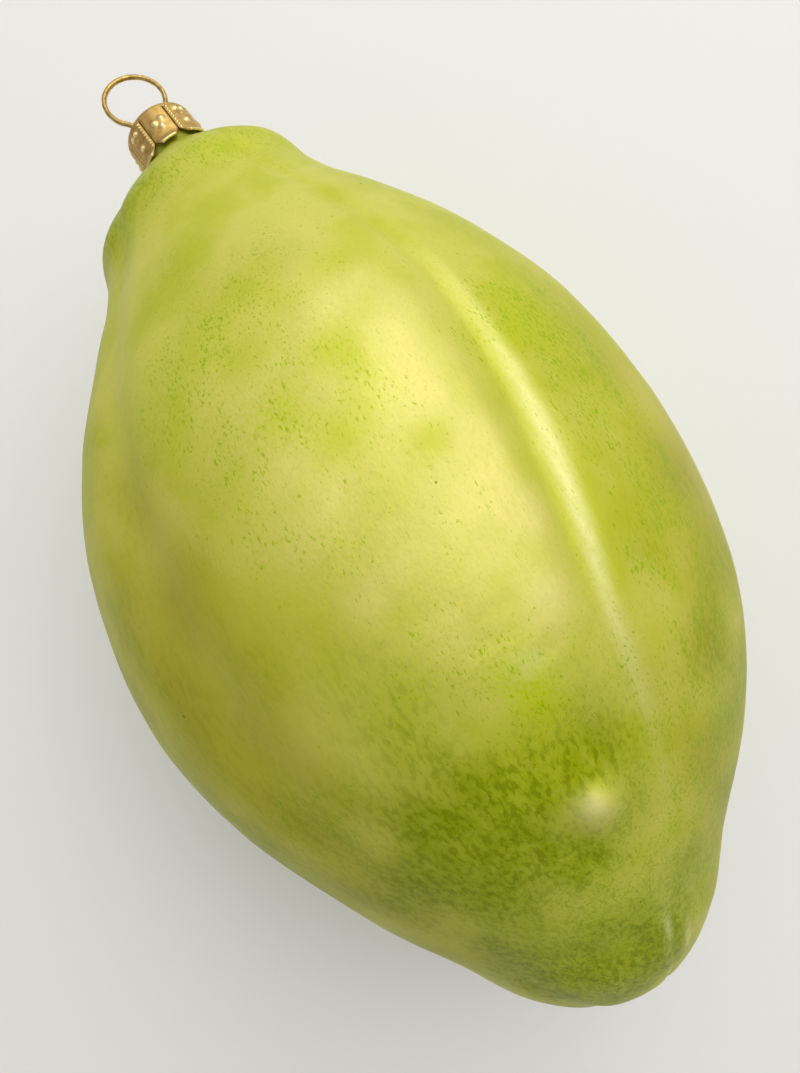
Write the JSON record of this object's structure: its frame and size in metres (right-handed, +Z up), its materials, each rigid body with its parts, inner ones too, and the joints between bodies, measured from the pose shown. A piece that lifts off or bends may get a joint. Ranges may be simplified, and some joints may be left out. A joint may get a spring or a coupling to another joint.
{
  "type": "papaya-shaped blown glass tree ornament",
  "caption": "Blown glass fruit ornament with shallow grooves, a crown cap on its neck and a wire ring to hang it by; lies on a small flat spot.",
  "frame": {"origin": "under the middle of the whole ornament, on the surface that it lies on", "axes": "+X from the hanging ring to the tip of the fruit, +Z up as it lies, +Y across it"},
  "size_m": [0.1282, 0.07, 0.0694],
  "materials": {
    "lacquered_glass": "silvered inside, with a pearly lime and yellow lacquer outside, satin",
    "cap_gold": "stamped sheet, antique gold, satin",
    "wire_gold": "drawn wire, antique gold"
  },
  "bodies": {
    "root": {"glass_body": "lacquered_glass", "cap": "cap_gold", "hanger": "wire_gold"}
  },
  "joints": []
}
